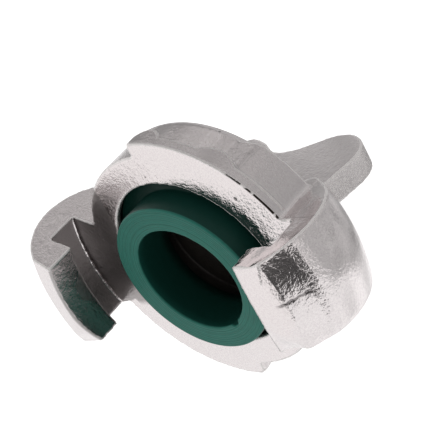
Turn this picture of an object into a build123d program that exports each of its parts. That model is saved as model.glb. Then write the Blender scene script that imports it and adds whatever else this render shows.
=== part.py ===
from build123d import *
from math import acos, atan2, cos, degrees, hypot, radians, sin
import os

# Blank half of a claw hose coupling: one stainless casting with two claws,
# a cammed rim, a butterfly grip on its closed back, and a rubber seal.
# Depths are measured along the coupling's axis from the plane of the seal's
# front face: positive towards the mating half, negative towards the back.

# Claws: two hooks whose lips are the fitting size of this coupling family
claw_distance = 42.0
claw_start_angle = -24.1
claw_end_angle = 21.5
flank_lean = 4.3
dressed_lean = 8.5
flank_margin = 2.0
claw_front = 8.4
lip_thickness = 5.9
lip_front_width = 4.0
lip_front_fall = 0.7
slot_clearance = 2.2
claw_wall = 4.8
belly_depth = 2.5
claw_foot = 1.85
crown_radius = 21.5

# Hub: the round body behind the front face
front_depth = 3.4
hub_radius = 20.9
back_depth = 14.0
back_edge_round = 2.3
floor_depth = 11.2
chamber_radius = 12.0
root_overlap = 2.0

# Rim: the flange that the mate's lips slide behind, with its cam and nose
rim_height = 2.3
rim_thickness = 2.0
rim_end_angle = 90.7
rim_root_angle = 3.0
cam_angle = 52.8
cam_width = 6.6
cam_rise = 1.6
nose_angle = 85.4
nose_width = 5.4
nose_rise = 1.9

# Stop blocks: what the mate's lips turn up against
stop_end_angle = 43.3
stop_fade_angle = 54.0
stop_depth = 11.8

# Seal and its undercut recess
seal_face_radius = 13.9
seal_bore_radius = 9.7
seal_collar_radius = 16.6
seal_collar_thickness = 2.8
seal_height = 8.0
seal_shift = 0.5
seal_shift_angle = -69.0
recess_mouth_radius = 15.7
recess_clearance = 0.6

# Butterfly grip: a flat plate cast across the back
grip_thickness = 4.5
grip_half_width = 17.8
grip_back_depth = 34.3
grip_notch_depth = 30.6
grip_ear_radius = 6.6
grip_ear_start = 15.0
grip_ear_sweep = -125.0
grip_root_half_width = 14.6
grip_root_flare = 0.1

lip_radius = claw_distance / 2
rim_radius = hub_radius + rim_height
slot_radius = rim_radius + slot_clearance
claw_outer_radius = slot_radius + claw_wall
inside_hub = hub_radius - root_overlap

# At rest it leans back on the grip's two ears and the hub's rounded back edge
back_edge_reach = hub_radius - back_edge_round - grip_thickness / 2
back_edge_lift = grip_back_depth - back_depth + back_edge_round
contact_span = hypot(back_edge_reach, back_edge_lift)
lean = degrees(acos(-back_edge_round / contact_span) - atan2(back_edge_lift, back_edge_reach))
rest_height = grip_thickness / 2 * cos(radians(lean)) + grip_back_depth * sin(radians(lean))

claw_line = Vector(1, 0, 0)
toward_mate = Vector(0, -cos(radians(lean)), sin(radians(lean)))
coupling = Plane(origin=(0, 0, rest_height), x_dir=claw_line, z_dir=toward_mate)
centre_line = Axis(coupling.origin, toward_mate)


def direction(angle):
    """Direction square to the axis, turned from the first claw's middle."""
    return coupling.x_dir * cos(radians(angle)) + coupling.y_dir * sin(radians(angle))


def on_circle(radius, angle):
    """Point of a flat outline, by its distance from the axis and its angle."""
    return Vector(radius * cos(radians(angle)), radius * sin(radians(angle)))


def section_plane(angle):
    """Half section through the axis: X is the radius and Y the depth."""
    side = direction(angle).cross(toward_mate)
    return Plane(origin=coupling.origin, x_dir=direction(angle), z_dir=side)


def tangent_plane(angle):
    """Plane that touches the rim: X runs round the rim and Y is the depth."""
    place = coupling.origin + direction(angle) * rim_radius
    return Plane(origin=place, x_dir=direction(angle + 90), z_dir=direction(angle))


# Claws: one hook section turned past both flanks, twice
lip_underside = claw_front - lip_thickness
lip_corner = (lip_radius + lip_front_width, claw_front - lip_front_fall)
claw_back = (hub_radius + claw_foot, -back_depth)

with BuildPart() as claws:
    for claw_angle in (0, 180):
        with BuildSketch(section_plane(claw_angle + claw_start_angle - flank_margin)):
            with BuildLine():
                Polyline(
                    claw_back,
                    (inside_hub, -back_depth),
                    (inside_hub, -front_depth),
                    (slot_radius, -front_depth),
                    (slot_radius, lip_underside),
                    (lip_radius, lip_underside),
                    (lip_radius, claw_front),
                    lip_corner,
                )
                ThreePointArc(lip_corner, (claw_outer_radius, -belly_depth), claw_back)
            make_face()
        revolve(axis=centre_line, revolution_arc=claw_end_angle - claw_start_angle + 2 * flank_margin)
    # Beyond the lips the flanks lean in, apart from one that was left square
    with BuildSketch(coupling.offset(-back_depth)):
        for claw_angle, start_lean in ((0, dressed_lean), (180, 0.0)):
            start_flank = claw_angle + claw_start_angle
            end_flank = claw_angle + claw_end_angle
            with BuildLine():
                outer_start = on_circle(claw_outer_radius, start_flank + start_lean)
                outer_end = on_circle(claw_outer_radius, end_flank - flank_lean)
                Polyline(outer_start, on_circle(lip_radius, start_flank), (0, 0),
                         on_circle(lip_radius, end_flank), outer_end)
                ThreePointArc(outer_start, on_circle(claw_outer_radius, claw_angle), outer_end)
            make_face()
    extrude(amount=back_depth + claw_front, mode=Mode.INTERSECT)
    # The lips' front is a roll across the claws, highest at the claw's middle
    roll_centre = coupling.origin + toward_mate * (claw_front - crown_radius)
    with BuildSketch(Plane(origin=roll_centre, x_dir=toward_mate, z_dir=claw_line)):
        Circle(crown_radius)
    extrude(amount=2 * claw_outer_radius, both=True, mode=Mode.INTERSECT)

# Grip: butterfly outline in the plane of the axis and the claws' middles
with BuildPart() as grip:
    with BuildSketch(section_plane(0)):
        with BuildLine():
            # Each ear is one arc, run into the hub and into the shallow notch
            root = (grip_root_half_width, root_overlap - back_depth)
            ear_centre = Vector(grip_half_width - grip_ear_radius, grip_ear_radius - grip_back_depth)
            ear = CenterArc(ear_centre, grip_ear_radius, grip_ear_start, grip_ear_sweep)
            notch = (0, -grip_notch_depth)
            Line((0, root_overlap - back_depth), root)
            Spline(root, ear @ 0, tangents=((grip_root_flare, -1), ear % 0))
            Spline(ear @ 1, notch, tangents=(ear % 1, (-1, 0)))
            mirror(about=Plane.YZ)
        make_face()
    extrude(amount=grip_thickness / 2, both=True)

with BuildPart() as coupling_body:
    # Hub, closed at the back with a rounded edge
    with BuildSketch(section_plane(0)):
        with BuildLine():
            Polyline((0, -back_depth), (0, -front_depth), (hub_radius, -front_depth),
                     (hub_radius, -back_depth), (0, -back_depth))
        hub_face = make_face()
        fillet(hub_face.vertices().group_by(Axis.X)[-1].sort_by(Axis.Y)[0], back_edge_round)
    revolve(axis=centre_line)

    # Rim halves with the stop blocks behind them
    for claw_angle in (0, 180):
        rim_start = claw_angle + claw_end_angle - rim_root_angle
        with BuildSketch(coupling.offset(-front_depth)):
            with BuildLine():
                rim_arc = CenterArc((0, 0), rim_radius, rim_start, rim_end_angle + claw_angle - rim_start)
                root_arc = CenterArc((0, 0), inside_hub, rim_start, rim_end_angle + claw_angle - rim_start)
                Line(rim_arc @ 0, root_arc @ 0)
                Line(rim_arc @ 1, root_arc @ 1)
            make_face()
        extrude(amount=-rim_thickness)
        with BuildSketch(coupling.offset(-front_depth)):
            with BuildLine():
                stop_arc = CenterArc((0, 0), rim_radius, rim_start, claw_angle + stop_end_angle - rim_start)
                base_arc = CenterArc((0, 0), inside_hub, rim_start, claw_angle + stop_fade_angle - rim_start)
                fade_point = PolarLine((0, 0), hub_radius, claw_angle + stop_fade_angle, mode=Mode.PRIVATE) @ 1
                Line(stop_arc @ 0, base_arc @ 0)
                Polyline(stop_arc @ 1, fade_point, base_arc @ 1)
            make_face()
        extrude(amount=-(stop_depth - front_depth))
        for bump_angle, width, rise in (
            (cam_angle, cam_width, cam_rise),
            (nose_angle, nose_width, nose_rise),
        ):
            with BuildSketch(tangent_plane(claw_angle + bump_angle)):
                with BuildLine():
                    rear = -front_depth - rim_thickness
                    ThreePointArc((-width / 2, rear), (0, rear - rise), (width / 2, rear))
                    Polyline((-width / 2, rear), (-width / 2, -front_depth),
                             (width / 2, -front_depth), (width / 2, rear))
                make_face()
            extrude(amount=-(rim_radius - inside_hub))
    with BuildSketch(coupling.offset(-back_depth)):
        Circle(rim_radius)
    extrude(amount=2 * back_depth, mode=Mode.INTERSECT)

    add(claws.part)
    add(grip.part)

    # Recess for the seal: mouth, undercut for the collar and a plain chamber
    with BuildSketch(section_plane(0)):
        with BuildLine():
            undercut = seal_collar_radius + recess_clearance
            undercut_top = seal_collar_thickness + recess_clearance - seal_height
            Polyline((0, 0), (recess_mouth_radius, 0), (recess_mouth_radius, undercut_top),
                     (undercut, undercut_top), (undercut, -seal_height),
                     (chamber_radius, -seal_height), (chamber_radius, -floor_depth),
                     (0, -floor_depth), (0, 0))
        make_face()
    revolve(axis=centre_line, mode=Mode.SUBTRACT)

# Seal: a rubber ring whose collar sits under the recess's mouth, a little off centre
with BuildPart() as seal_ring:
    seal_centre = coupling.origin + direction(seal_shift_angle) * seal_shift
    seal_section = section_plane(seal_shift_angle)
    seal_section.origin = seal_centre
    with BuildSketch(seal_section):
        with BuildLine():
            collar_top = seal_collar_thickness - seal_height
            Polyline((seal_bore_radius, 0), (seal_face_radius, 0), (seal_face_radius, collar_top),
                     (seal_collar_radius, collar_top), (seal_collar_radius, -seal_height),
                     (seal_bore_radius, -seal_height), (seal_bore_radius, 0))
        make_face()
    revolve(axis=Axis(seal_centre, toward_mate))

# Both pieces are centred over the origin, where the coupling lies on the ground
box_centre = coupling_body.part.bounding_box().center()
ground_shift = Location((-box_centre.X, -box_centre.Y, 0))

os.makedirs("parts", exist_ok=True)
coupling_body.part.move(ground_shift)
coupling_body.part.label = "coupling_body"
export_step(coupling_body.part, "parts/coupling_body.step")
seal_ring.part.move(ground_shift)
seal_ring.part.label = "seal_ring"
export_step(seal_ring.part, "parts/seal_ring.step")
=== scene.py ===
from math import atan2, cos, degrees, hypot, pi, radians, sin

import bmesh
import bpy
from mathutils import Matrix, Vector, noise


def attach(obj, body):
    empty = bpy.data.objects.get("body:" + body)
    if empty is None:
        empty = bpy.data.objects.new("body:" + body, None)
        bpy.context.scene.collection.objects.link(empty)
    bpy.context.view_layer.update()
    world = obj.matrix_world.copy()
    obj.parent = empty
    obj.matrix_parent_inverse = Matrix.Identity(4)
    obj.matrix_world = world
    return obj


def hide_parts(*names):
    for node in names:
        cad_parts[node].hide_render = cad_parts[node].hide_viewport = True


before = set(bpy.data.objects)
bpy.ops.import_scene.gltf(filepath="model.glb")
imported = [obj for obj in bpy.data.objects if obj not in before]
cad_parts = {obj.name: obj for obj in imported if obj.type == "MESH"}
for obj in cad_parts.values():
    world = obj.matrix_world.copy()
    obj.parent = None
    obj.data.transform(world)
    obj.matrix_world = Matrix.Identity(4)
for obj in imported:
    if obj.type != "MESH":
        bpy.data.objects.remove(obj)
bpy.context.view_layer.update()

# The casting: hub, rim, claws and butterfly grip poured as one piece in
# stainless steel, then tumbled bright, so that its edges are soft and its skin
# keeps the fine peel of the mould.
millimetre = 0.001
lean = radians(40.61)
seal_face_centre = Vector((0, -7.4906, 24.036)) * millimetre
across = Vector((1, 0, 0))
upward = Vector((0, sin(lean), cos(lean)))
toward_mate = Vector((0, -cos(lean), sin(lean)))

voxel_size = 0.22 * millimetre
smoothing_factor = 0.5
edge_smoothing_rounds = 6
dressing_rounds = 70
kept_share = 0.37

# In millimetres and degrees: radii are from the axis, depths from the seal's face
# toward the mate, and angles from the middle of a claw
recess_radius = 17.2
lip_radius = 21.0
rim_radius = 23.2
slot_radius = 25.4
claw_outer_radius = 30.2
front_depth = -3.4
rim_back_depth = -5.4
recess_floor = -11.2
start_flank = -24.1
end_flank = 21.5
flank_lean = 4.3

# Section of a claw in the plane of the axis: its back is one arc, and its front
# is ground flat between two angles on that arc, which leaves a crease below it
arc_radius_out = 17.6
arc_depth = -2.5
arc_size = 12.6
ground_from = radians(47.5)
ground_to = radians(22.5)
ground_hollow = 1.3

# The first claw's flank is hollow along its back and was pulled in at the lower end
flank_hollow = 1.1
hollow_reach = 10.4
hollow_half_width = 2.2
hollow_inside = 21.5
lower_end_pull = 2.4
far_ear_bulge = 1.5


def in_coupling(point):
    """Millimetres across, upward and toward the mate, from the seal face's centre."""
    offset = (point - seal_face_centre) / millimetre
    return offset.dot(across), offset.dot(upward), offset.dot(toward_mate)


def from_coupling(x, height, depth):
    """The place of such a point in the frame."""
    return seal_face_centre + (across * x + upward * height + toward_mate * depth) * millimetre


def ease(value, start, end):
    """0 at the start, 1 at the end, with a soft rise between them."""
    part = min(max((value - start) / (end - start), 0.0), 1.0)
    return part * part * (3 - 2 * part)


def band(value, start, full, last, end):
    """1 from full to last, with a soft rise from the start and a fall to the end."""
    return ease(value, start, full) * ease(value, end, last)


def ground_flat(radius, depth):
    """Where a point of the claw's section goes when the front is ground flat."""
    out, up = radius - arc_radius_out, depth - arc_depth
    slope = atan2(up, out)
    if not ground_to < slope < ground_from:
        return radius, depth
    middle = (ground_from + ground_to) / 2
    chord = arc_size * cos(ground_from - middle) / cos(slope - middle)
    near_skin = ease(hypot(out, up), 0.75 * arc_size, 0.95 * arc_size)
    moved = 1 + ground_hollow * (chord / arc_size - 1) * near_skin
    return arc_radius_out + out * moved, arc_depth + up * moved


def flank_shift(radius, turn, depth):
    """Degrees by which a point near the first claw's flanks was moved."""
    if radius < hollow_inside:
        return 0.0
    flank = end_flank - flank_lean * (radius - lip_radius) / (claw_outer_radius - lip_radius)
    reach = hypot(radius - arc_radius_out, depth - arc_depth)
    bowl = max(0.0, 1 - ((reach - hollow_reach) / hollow_half_width) ** 2)
    hollow = bowl * ease(turn, flank - 1.4, flank - 0.3) * ease(radius, hollow_inside, hollow_inside + 3.5)
    lower_end = ease(turn, -11, -18) * band(radius, 21.2, 22.4, 25, 27) * ease(depth, 2, 5)
    return lower_end_pull * lower_end - flank_hollow * hollow


def dressed_share(radius, turn, depth):
    """How far a point of the first claw was rounded off, at its lower end and upper root."""
    lower_end = ease(turn, -8, -14) * ease(radius, lip_radius, lip_radius + 1.6) * ease(depth, -15, -12)
    upper_root = band(turn, 13, 17, 26, 30) * ease(radius, 23.6, 24.6) * ease(depth, 2.0, -2.5)
    return max(lower_end, upper_root)


def new_piece(name, mesh):
    """An object in the scene for a mesh."""
    made = bpy.data.objects.new(name, mesh)
    bpy.context.scene.collection.objects.link(made)
    return made


def applied(piece):
    """The piece's mesh with its modifiers worked into it."""
    bpy.context.view_layer.update()
    depsgraph = bpy.context.evaluated_depsgraph_get()
    finished = bpy.data.meshes.new_from_object(piece.evaluated_get(depsgraph))
    bpy.data.objects.remove(piece)
    return finished


# The CAD's mesh, with its faces joined and then remeshed finely enough to soften its edges
casting_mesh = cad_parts["coupling_body"].data.copy()
casting_build = bmesh.new()
casting_build.from_mesh(casting_mesh)
bmesh.ops.remove_doubles(casting_build, verts=casting_build.verts, dist=1e-6)
casting_build.to_mesh(casting_mesh)
casting_build.free()
casting_mesh.materials.clear()
rough_casting = new_piece("rough_casting", casting_mesh)
remesh = rough_casting.modifiers.new("skin", "REMESH")
remesh.mode = "VOXEL"
remesh.voxel_size = voxel_size
remesh.use_smooth_shade = True
soften = rough_casting.modifiers.new("soften", "SMOOTH")
soften.factor = smoothing_factor
soften.iterations = edge_smoothing_rounds
rough_mesh = applied(rough_casting)

# What was done by hand on the first claw, and the far ear's bulge
dressed = {}
for vertex in rough_mesh.vertices:
    x, height, depth = in_coupling(vertex.co)
    radius = hypot(x, height)
    if x > 0 and radius > lip_radius:
        turn = degrees(atan2(height, x))
        radius, depth = ground_flat(radius, depth)
        share = dressed_share(radius, turn, depth)
        if share > 0:
            dressed[vertex.index] = share
        angle = radians(turn + flank_shift(radius, turn, depth))
        vertex.co = from_coupling(radius * cos(angle), radius * sin(angle), depth)
    else:
        on_far_ear = band(x, -15.5, -9.5, -6.5, -1.0) * ease(height, -1.6, 1.2) * ease(depth, -27, -31)
        vertex.co = from_coupling(x, height, depth - far_ear_bulge * on_far_ear)

casting = new_piece("rough_casting", rough_mesh)
dressed_end = casting.vertex_groups.new(name="dressed_end")
for index, share in dressed.items():
    dressed_end.add([index], share, "REPLACE")
dressing = casting.modifiers.new("dressing", "SMOOTH")
dressing.factor = smoothing_factor
dressing.iterations = dressing_rounds
dressing.vertex_group = "dressed_end"
thin = casting.modifiers.new("thin", "DECIMATE")
thin.ratio = kept_share
finished_mesh = applied(casting)
casting = new_piece("stainless_casting", finished_mesh)

# How tightly the surface turns at each point, in 1/mm, so that the material can paint a highlight on the
# edges
turning = [0.0] * len(finished_mesh.vertices)
neighbours = [0] * len(finished_mesh.vertices)
shortest_square = 0.01
for edge in finished_mesh.edges:
    first, second = (finished_mesh.vertices[index] for index in edge.vertices)
    run = (second.co - first.co) / millimetre
    for point, sign in ((first, -1), (second, 1)):
        turning[point.index] += 2 * sign * point.normal.dot(run) / max(run.length_squared, shortest_square)
        neighbours[point.index] += 1
turning = [total / max(count, 1) for total, count in zip(turning, neighbours)]
spread = list(turning)
for edge in finished_mesh.edges:
    first, second = edge.vertices
    spread[first] += turning[second]
    spread[second] += turning[first]
edge_curve = finished_mesh.attributes.new("edge_curve", "FLOAT", "POINT")
for index, count in enumerate(neighbours):
    edge_curve.data[index].value = spread[index] / (count + 1)


class Wire:
    """An output socket of a node; arithmetic on it adds the Math nodes."""

    def __init__(self, tree, socket=None):
        self.tree = tree
        self.socket = socket

    def node(self, kind, settings=None, inputs=None, output=0):
        """A node by its type, settings and sockets; the wire starts at one of its outputs."""
        made = self.tree.nodes.new(kind)
        for name, value in (settings or {}).items():
            setattr(made, name, value)
        for name, value in (inputs or {}).items():
            if isinstance(value, Wire):
                self.tree.links.new(value.socket, made.inputs[name])
            else:
                made.inputs[name].default_value = value
        return Wire(self.tree, made.outputs[output]) if made.outputs else None

    def math(self, operation, first, second):
        return self.node("ShaderNodeMath", {"operation": operation}, {0: first, 1: second})

    def __add__(self, other):
        return self.math("ADD", self, other)

    def __sub__(self, other):
        return self.math("SUBTRACT", self, other)

    def __rsub__(self, other):
        return self.math("SUBTRACT", other, self)

    def __mul__(self, other):
        return self.math("MULTIPLY", self, other)

    __radd__ = __add__
    __rmul__ = __mul__

    def __abs__(self):
        return self.math("ABSOLUTE", self, 0.0)

    def larger(self, other):
        return self.math("MAXIMUM", self, other)

    def smaller(self, other):
        return self.math("MINIMUM", self, other)

    def rise(self, start, end):
        """0 at the start, 1 at the end, with a soft rise or fall between them."""
        return self.node("ShaderNodeMapRange", {"interpolation_type": "SMOOTHSTEP"},
                         {"Value": self, "From Min": start, "From Max": end})

    def band(self, start, full, last, end):
        """1 from full to last, with a soft rise from the start and a fall to the end."""
        return self.rise(start, full) * self.rise(end, last)

    def along(self, direction):
        """How far a place lies along a direction."""
        return self.node("ShaderNodeVectorMath", {"operation": "DOT_PRODUCT"},
                         {0: self, 1: direction}, output="Value")

    def noise(self, scale, detail, roughness=0.5):
        """A soft random pattern on a place, with its scale in waves per metre."""
        return self.node("ShaderNodeTexNoise", None,
                         {"Vector": self, "Scale": scale, "Detail": detail, "Roughness": roughness})

    def colour(self, low, high):
        """The low colour where the wire is 0 and the high one where it is 1."""
        return self.node("ShaderNodeMix", {"data_type": "RGBA"}, {0: self, 6: low, 7: high}, output=2)


def new_material(name):
    """An empty node material, with a wire that starts in it."""
    made = bpy.data.materials.new(name)
    made.use_nodes = True
    made.node_tree.nodes.clear()
    return made, Wire(made.node_tree)


steel_shade = (0.775, 0.725, 0.730, 1.0)
steel_light = (0.815, 0.772, 0.768, 1.0)
edge_highlight_white = (0.98, 0.95, 0.94, 1.0)
pit_dark = (0.10, 0.09, 0.09, 1.0)
foundry_brown_and_shade = (0.040, 0.034, 0.030, 1.0)

stainless, wire = new_material("tumbled_stainless")
place = wire.node("ShaderNodeTexCoord", output="Object")
peel = place.noise(2300.0, 2.0, 0.6)
swell = place.noise(620.0, 3.0, 0.55)
specks = place.noise(3400.0, 1.0)
wander = place.noise(900.0, 1.0)

# The casting's own measures again, this time at each point of the material
offset = wire.node("ShaderNodeVectorMath", {"operation": "SUBTRACT"}, {0: place, 1: seal_face_centre})
x = offset.along(across) * (1 / millimetre)
height = offset.along(upward) * (1 / millimetre)
depth = offset.along(toward_mate) * (1 / millimetre)
radius = wire.math("POWER", x * x + height * height, 0.5)
side = wire.math("SIGN", x, 0.0)
turn = wire.math("ARCTAN2", height * side, x * side) * degrees(1)
breadth = abs(turn)

# 1 on the first claw's half of the coupling and 0 on the far claw's
first_half = side.rise(-0.5, 0.5)


def off_circle(circle_radius, circle_depth):
    """Square of the distance from a circle round the axis, in square millimetres."""
    out, up = radius - circle_radius, depth - circle_depth
    return out * out + up * up


# Where the tumbling stones don't reach, the casting is painted dark, partly for its dark foundry skin and
# partly as painted shade: in the recess, in the claws' slots and on the face beside the far claw's slot. The
# recess is also made far less metallic, which darkens it further.
slot_skin_and_shade_share = 0.54
lip_skin_and_shade_share = 0.35
rim_skin_and_shade_share = 0.16
far_face_edge = -13.6

within_recess = depth.band(recess_floor - 1.4, recess_floor - 0.8, front_depth - 1.1, front_depth - 0.3)
in_recess = within_recess * radius.rise(recess_radius + 1.0, recess_radius + 0.4)

# On the lips the dark skin and painted shade end in a ragged line, which is highest near the claw's middle
skin_and_shade_limit = 2.9 + turn.band(-11.0, -4.0, 0.0, 8.0) * 2.2 + (wander - 0.5) * 1.2
under_lip = (depth - skin_and_shade_limit).rise(0.25, -0.05) * depth.rise(front_depth - 0.7, front_depth - 0.3)
in_slot = under_lip * turn.rise(start_flank + 0.2, start_flank + 0.8)
in_slot = in_slot * (turn + first_half * 5.0).rise(end_flank - 0.9, end_flank - 1.9)
in_slot = in_slot * radius.band(lip_radius - 0.7, lip_radius - 0.2, slot_radius + 0.2, slot_radius + 0.5)

by_slot = x.rise(far_face_edge, far_face_edge - 0.3) * height.rise(-9.0, -7.5)
by_slot = by_slot * depth.band(-4.2, -3.8, -3.1, -2.6) * radius.rise(lip_radius + 0.6, lip_radius)
slot_skin_and_shade = (in_slot + by_slot * (1 - first_half)).smaller(1.0) * slot_skin_and_shade_share

# A lighter painted shade, with some dark skin, on the inside of the claws' lips and on the rim's outer side
on_lip = radius.band(lip_radius - 1.0, lip_radius - 0.4, lip_radius + 0.2, lip_radius + 0.5)
on_lip = on_lip * breadth.rise(23.5, 22.5) * depth.rise(2.0, 3.0)
on_rim = radius.rise(rim_radius - 0.7, rim_radius - 0.3) * turn.rise(20.0, 23.0)
on_rim = on_rim * depth.band(-12.0, -11.0, front_depth - 0.3, front_depth)
open_skin_and_shade = slot_skin_and_shade.larger(on_lip * lip_skin_and_shade_share + on_rim * rim_skin_and_shade_share)

# A broken line along the slot's corner is kept out of that dark, so that the steel's highlight shows there.
# Along the rim's front edge, where a broken fin of flash stands, a shallow groove in the bump is painted
# dark as its shadow.
flash_thinning = 0.0012
flash_breaking = 0.008

slot_edge_left_bright = off_circle(slot_radius - 0.05, front_depth + 0.05).rise(0.10, 0.03)
slot_edge_left_bright = slot_edge_left_bright * wander.rise(0.43, 0.49) * breadth.rise(23.0, 21.0)
off_flash = off_circle(rim_radius - 0.15, front_depth - 0.1) + (turn - 24.0) * flash_thinning
unbroken = (wander - (turn - 30.0) * flash_breaking).rise(0.40, 0.50)
flash_groove_and_shadow = off_flash.rise(0.05, 0.02) * unbroken * turn.band(20.5, 21.5, 44.0, 50.0) * first_half
foundry_skin_and_painted_shade = (in_recess + open_skin_and_shade * (1 - in_recess)) * (1 - slot_edge_left_bright)
foundry_skin_and_painted_shade = foundry_skin_and_painted_shade.larger(flash_groove_and_shadow)

# Pits of the casting and one scratch across the first claw's front
pit_size = 0.36
pit_edge = 0.10
pit_places = (
    (-0.5, 17.1, -3.4),
    (15.4, 12.1, -3.4),
    (9.6, 18.5, -12.1),
    (15.4, -16.0, -3.4),
    (-6.0, 2.3, -24.0),
)
scratch_turn = 2.6
scratch_radius = 26.0
scratch_slant = 0.25

marks = 0.0
for pit in pit_places:
    away = wire.node("ShaderNodeVectorMath", {"operation": "DISTANCE"},
                     {0: place, 1: from_coupling(*pit)}, output="Value")
    marks = marks + (away * (1 / millimetre) + (wander - 0.5) * 0.5).rise(pit_size, pit_edge)
off_scratch = abs(turn - scratch_turn + (radius - scratch_radius) * scratch_slant + (wander - 0.5) * 1.6)
scratch = off_scratch.rise(0.75, 0.2) * radius.band(24.6, 25.6, 27.8, 28.6) * depth.rise(3.0, 4.0)
marks = (marks + scratch * first_half).smaller(1.0)


# The cam and the nose on the rim's rear edge: middle and half width in degrees, rise in mm
cam = (52.8, 8.15, 1.6)
nose = (85.4, 6.67, 1.9)


def hump(middle, half_width, rise):
    """How far such a rounded step stands out of the rim's rear edge."""
    away = turn - middle
    return (1 - away * away * (1 / half_width ** 2)).larger(0.0) * rise


# That edge has a fine burr in the bump and a painted highlight, both of which run over the cam and the nose
off_rim = depth - (rim_back_depth - hump(*cam) - hump(*nose))
rim_burr_and_highlight = off_rim.rise(-0.15, 0.10) * (off_rim + (wander - 0.5) * 0.4).rise(0.62, 0.22)
rim_burr_and_highlight = rim_burr_and_highlight * radius.rise(rim_radius - 0.7, rim_radius - 0.3) * turn.band(21.5, 22.5, 90.0, 92.0)

# Hammered skin: on the front face beside the first claw and along that claw's crease
by_claw = depth.band(front_depth - 0.4, front_depth - 0.2, front_depth + 0.5, front_depth + 1.0)
by_claw = by_claw * radius.rise(17.0, 18.5) * turn.band(13.0, 15.0, 30.0, 42.0)
slope = wire.math("ARCTAN2", depth - arc_depth, radius - arc_radius_out) * degrees(1)
by_crease = slope.band(9.0, 17.0, 25.0, 30.0) * radius.rise(26.0, 27.0) * breadth.rise(21.0, 17.0)
hammered = (by_claw + by_crease * 0.8) * first_half

peel_height = 1.35
swell_height = 2.2
hammering = 1.7
mark_depth = 2.0
burr_height = 4.0
relief = (peel * peel_height + swell * swell_height) * (1 + hammered * hammering)
relief = relief - (marks + flash_groove_and_shadow) * mark_depth + rim_burr_and_highlight * burr_height
skin = wire.node("ShaderNodeBump", None, {"Strength": 0.34, "Distance": 0.1 * millimetre, "Height": relief})

# Convex edges, the rim's rear edge and the grip's edge get a painted highlight: they are painted paler and
# made less metallic and rougher, so that they scatter more light
curve = wire.node("ShaderNodeAttribute", {"attribute_name": "edge_curve"}, output="Fac").rise(0.30, 0.9)
grip_edge_highlight = abs(height).rise(2.15, 1.95) * depth.rise(-17.0, -19.0) * (0.35 + specks.rise(0.44, 0.60) * 0.6)
painted_edge_highlight = curve.larger(rim_burr_and_highlight.larger(grip_edge_highlight)) * (1 - foundry_skin_and_painted_shade)
steel_with_edge_highlight = painted_edge_highlight.colour(specks.rise(0.35, 0.62).colour(steel_shade, steel_light), edge_highlight_white)
steel_shader = wire.node("ShaderNodeBsdfPrincipled", None, {
    "Base Color": foundry_skin_and_painted_shade.colour((marks * 0.7).colour(steel_with_edge_highlight, pit_dark), foundry_brown_and_shade),
    "Metallic": 1 - in_recess * 0.9 - painted_edge_highlight * 0.7,
    "Roughness": 0.07 + peel * 0.12 + foundry_skin_and_painted_shade * 0.32 + painted_edge_highlight * 0.25,
    "Normal": skin,
})
wire.node("ShaderNodeOutputMaterial", None, {"Surface": steel_shader})
casting.data.materials.append(stainless)
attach(casting, "root")
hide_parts("coupling_body")

# The seal: a moulded ring of dark green rubber, snapped by its collar into the
# undercut of the casting's recess. Its face was cut on a lathe, which left fine
# concentric rings and a small nick at the edge of the bore.
seal_shift = 0.5
seal_shift_angle = radians(-69)
bore_radius = 9.7
face_radius = 13.9
collar_radius = 16.6
collar_depth = -5.2
collar_chamfer = 0.3
seal_back = -8.0
bore_rounding = 0.35
outer_rounding = 0.4
rounding_steps = 6
face_steps = 60
ring_pitch = 0.42
ring_relief = 0.035
seal_segments = 288
chatter_height = 0.05
chatter_waves = 9
nick_angle = radians(-62)
nick_half_width = radians(7)
nick_depth = 0.55

seal_middle_x = seal_shift * cos(seal_shift_angle)
seal_middle_height = seal_shift * sin(seal_shift_angle)
outline = [(bore_radius, seal_back), (bore_radius, -6.0), (bore_radius, -3.5), (bore_radius, -1.6)]
for step in range(rounding_steps):
    lift = step / rounding_steps * pi / 2
    outline.append((bore_radius + bore_rounding * (1 - cos(lift)), -bore_rounding * (1 - sin(lift))))
face_start = bore_radius + bore_rounding
face_end = face_radius - outer_rounding
for step in range(face_steps + 1):
    radius = face_start + (face_end - face_start) * step / face_steps
    outline.append((radius, ring_relief * (sin(2 * pi * radius / ring_pitch) - 1) / 2))
for step in range(1, rounding_steps + 1):
    drop = step / rounding_steps * pi / 2
    fall = outer_rounding * (1 - cos(drop)) + ring_relief / 2
    outline.append((face_end + outer_rounding * sin(drop), -fall))
outline += [(face_radius, -2.4), (face_radius, collar_depth + 0.4), (face_radius + 0.15, collar_depth)]
outline += [(collar_radius - collar_chamfer, collar_depth), (collar_radius, collar_depth - collar_chamfer)]
outline.append((collar_radius, seal_back))

seal_build = bmesh.new()
rings = []
for segment in range(seal_segments):
    turn = 2 * pi * segment / seal_segments
    nick = nick_depth * ease(cos(turn - nick_angle), cos(nick_half_width), 1.0)
    around = Vector((cos(turn) * chatter_waves, sin(turn) * chatter_waves, 0))
    chatter = chatter_height * noise.noise(around)
    ring = []
    for radius, depth in outline:
        at_edge = ease(radius, bore_radius + 1.2, bore_radius + 0.1) * ease(depth, -1.8, -0.2)
        out = radius + (chatter + nick) * at_edge
        ring.append(seal_build.verts.new(from_coupling(
            seal_middle_x + out * cos(turn), seal_middle_height + out * sin(turn), depth)))
    rings.append(ring)
for segment in range(seal_segments):
    ring, following = rings[segment], rings[(segment + 1) % seal_segments]
    for step in range(len(outline)):
        after = (step + 1) % len(outline)
        seal_build.faces.new((ring[step], following[step], following[after], ring[after]))
bmesh.ops.recalc_face_normals(seal_build, faces=seal_build.faces)
for face in seal_build.faces:
    face.smooth = True
seal_mesh = bpy.data.meshes.new("green_seal")
seal_build.to_mesh(seal_mesh)
seal_build.free()
seal = new_piece("green_seal", seal_mesh)
seal_radius = seal_mesh.attributes.new("seal_radius", "FLOAT", "POINT")
cut_face = seal_mesh.attributes.new("cut_face", "FLOAT", "POINT")
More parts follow.
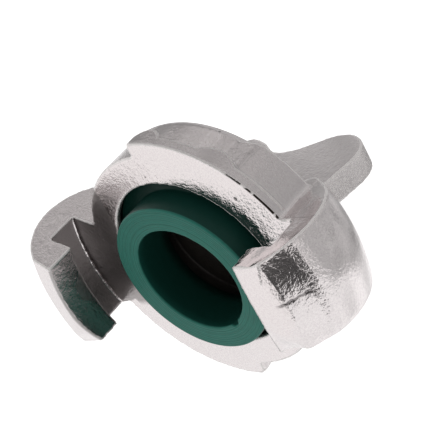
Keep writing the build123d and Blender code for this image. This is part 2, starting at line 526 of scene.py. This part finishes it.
for vertex in seal_mesh.vertices:
    x, height, depth = in_coupling(vertex.co)
    seal_radius.data[vertex.index].value = hypot(x - seal_middle_x, height - seal_middle_height)
    cut_face.data[vertex.index].value = ease(depth, -0.45, -0.15)

# The seal's sides and bore are painted a far darker green than its cut face: partly for their moulded skin,
# partly as painted shade
cut_green_shade = (0.016, 0.145, 0.110, 1.0)
cut_green_light = (0.035, 0.230, 0.180, 1.0)
moulded_green_and_shade = (0.004, 0.046, 0.035, 1.0)

rubber, wire = new_material("green_rubber")
bloom = wire.node("ShaderNodeTexCoord", output="Object").noise(700.0, 4.0)
ring_place = wire.node("ShaderNodeAttribute", {"attribute_name": "seal_radius"}, output="Fac")
cut_mask = wire.node("ShaderNodeAttribute", {"attribute_name": "cut_face"}, output="Fac")
tool_marks = wire.node("ShaderNodeTexNoise", {"noise_dimensions": "1D"}, {
    "W": ring_place, "Scale": 5.0, "Detail": 3.0,
})
streaks = wire.node("ShaderNodeMapRange", None, {
    "Value": tool_marks + bloom * 0.25, "From Min": 0.42, "From Max": 0.82,
})
grain = wire.node("ShaderNodeBump", None, {
    "Strength": 0.35, "Distance": 0.05 * millimetre, "Height": tool_marks + bloom * 0.5,
})
# Painted shade: the cut face takes the lathe-streaked greens, and the sides and bore take the dark moulded
# green
rubber_shader = wire.node("ShaderNodeBsdfPrincipled", None, {
    "Base Color": cut_mask.colour(moulded_green_and_shade, streaks.colour(cut_green_shade, cut_green_light)),
    "Roughness": 0.40 + bloom * 0.14,
    "Specular IOR Level": 0.22,
    "Normal": grain,
})
wire.node("ShaderNodeOutputMaterial", None, {"Surface": rubber_shader})
seal.data.materials.append(rubber)
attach(seal, "root")
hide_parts("seal_ring")

# The ground: a plain white table, which glows for the camera brightly enough to fade into the white behind
# it, and which keeps the soft shadow where the fitting touches it. For rays reflected in the metal it glows
# instead at a painted level, like a creased grey cloth: painted shade behind the fitting, white in front of
# it, and darker still far left.
table_half_width = 1.5
table_glow = 0.8
glow_share_in_metal = 0.75
grey_glow_level = 0.36
white_glow_level = 0.64
across_glow = (0.35, 0.937, 0.0)
table_white = (0.9, 0.9, 0.9, 1.0)

table_mesh = bpy.data.meshes.new("table")
table_build = bmesh.new()
bmesh.ops.create_grid(table_build, x_segments=1, y_segments=1, size=table_half_width)
table_build.to_mesh(table_mesh)
table_build.free()
table = new_piece("table", table_mesh)
white, wire = new_material("white_table")
seen_straight = wire.node("ShaderNodeLightPath", output="Is Camera Ray")
seen_in_metal = wire.node("ShaderNodeLightPath", output="Is Glossy Ray")
place = wire.node("ShaderNodeTexCoord", output="Object")
behind = place.along(across_glow)
far_left = place.along(-across).rise(0.058, 0.075) * behind.rise(0.030, 0.045)
folds = place.noise(80.0, 3.0).rise(0.36, 0.62)
# The painted glow seen in the metal: grey shade with folds behind the fitting, darker far left, and white in
# front of the fitting
glow_in_metal = grey_glow_level * (1.38 - far_left * 0.75) * (0.6 + folds * 0.8) + behind.rise(0.017, 0.009) * white_glow_level
in_metal = wire.node("ShaderNodeEmission", None, {"Strength": glow_in_metal})
lit = wire.node("ShaderNodeBsdfDiffuse", None, {"Color": table_white})
glow = wire.node("ShaderNodeEmission", None, {"Strength": seen_straight * table_glow})
plain = wire.node("ShaderNodeAddShader", None, {0: lit, 1: glow})
surface = wire.node("ShaderNodeMixShader", None, {0: seen_in_metal * glow_share_in_metal, 1: plain, 2: in_metal})
wire.node("ShaderNodeOutputMaterial", None, {"Surface": surface})
table.data.materials.append(white)

# The light: a white tent of creased cloth round the fitting. A grey cloth hangs on
# the far side, and the tent is open, and so dark, high in front and low at the
# front right. The camera itself sees plain white behind the fitting.
tent_caps = (
    {"azimuth": 168, "elevation": 20, "inner": 62, "outer": 80, "level": 0.46},
    {"azimuth": 0, "elevation": 64, "inner": 26, "outer": 37, "level": 0.14},
    {"azimuth": 54, "elevation": 10, "inner": 19, "outer": 25, "level": 0.07},
)
tent_white = (1.0, 0.985, 0.98, 1.0)
backdrop_white = (1.0, 1.0, 1.0, 1.0)


def towards(azimuth, elevation):
    """Direction by its azimuth from -Y towards +X, and its elevation, in degrees."""
    around, up = radians(azimuth), radians(elevation)
    return Vector((sin(around) * cos(up), -cos(around) * cos(up), sin(up)))


world = bpy.data.worlds.new("tent")
world.use_nodes = True
world.node_tree.nodes.clear()
wire = Wire(world.node_tree)
looking = wire.node("ShaderNodeTexCoord", output="Generated")
tent_level = 1.0
for cap in tent_caps:
    nearness = looking.along(towards(cap["azimuth"], cap["elevation"]))
    covered = nearness.rise(cos(radians(cap["outer"])), cos(radians(cap["inner"])))
    tent_level = tent_level + covered * (cap["level"] - tent_level)
folds = looking.noise(15.0, 3.0).rise(0.36, 0.62)
tent_level = tent_level * (1 + tent_level.rise(0.95, 0.6) * (folds * 1.1 - 0.52))
tent = wire.node("ShaderNodeBackground", None, {"Color": tent_white, "Strength": tent_level})
backdrop = wire.node("ShaderNodeBackground", None, {"Color": backdrop_white, "Strength": 1.0})
seen_straight = wire.node("ShaderNodeLightPath", output="Is Camera Ray")
surroundings = wire.node("ShaderNodeMixShader", None, {0: seen_straight, 1: tent, 2: backdrop})
wire.node("ShaderNodeOutputWorld", None, {"Surface": surroundings})
bpy.context.scene.world = world

# The camera: a long lens, close above the fitting and at its right, turned on
# its side so that the claws' line runs across the picture.
lens_millimetres = 105.64
sensor_millimetres = 36.0
nearest_seen = 5 * millimetre
camera_place = Vector((145.56, -30.63, 162.76)) * millimetre
camera_aim = Vector((4.162, 2.348, 22.158)) * millimetre
camera_up = Vector((0.02998, 0.97943, 0.19957))

camera_data = bpy.data.cameras.new("camera")
camera_data.lens = lens_millimetres
camera_data.sensor_width = sensor_millimetres
camera_data.clip_start = nearest_seen
camera = new_piece("camera", camera_data)
backward = (camera_place - camera_aim).normalized()
sideways = camera_up.cross(backward).normalized()
camera.matrix_world = Matrix((sideways, backward.cross(sideways), backward)).transposed().to_4x4()
camera.location = camera_place
bpy.context.scene.camera = camera

bpy.context.scene.view_settings.view_transform = "Standard"
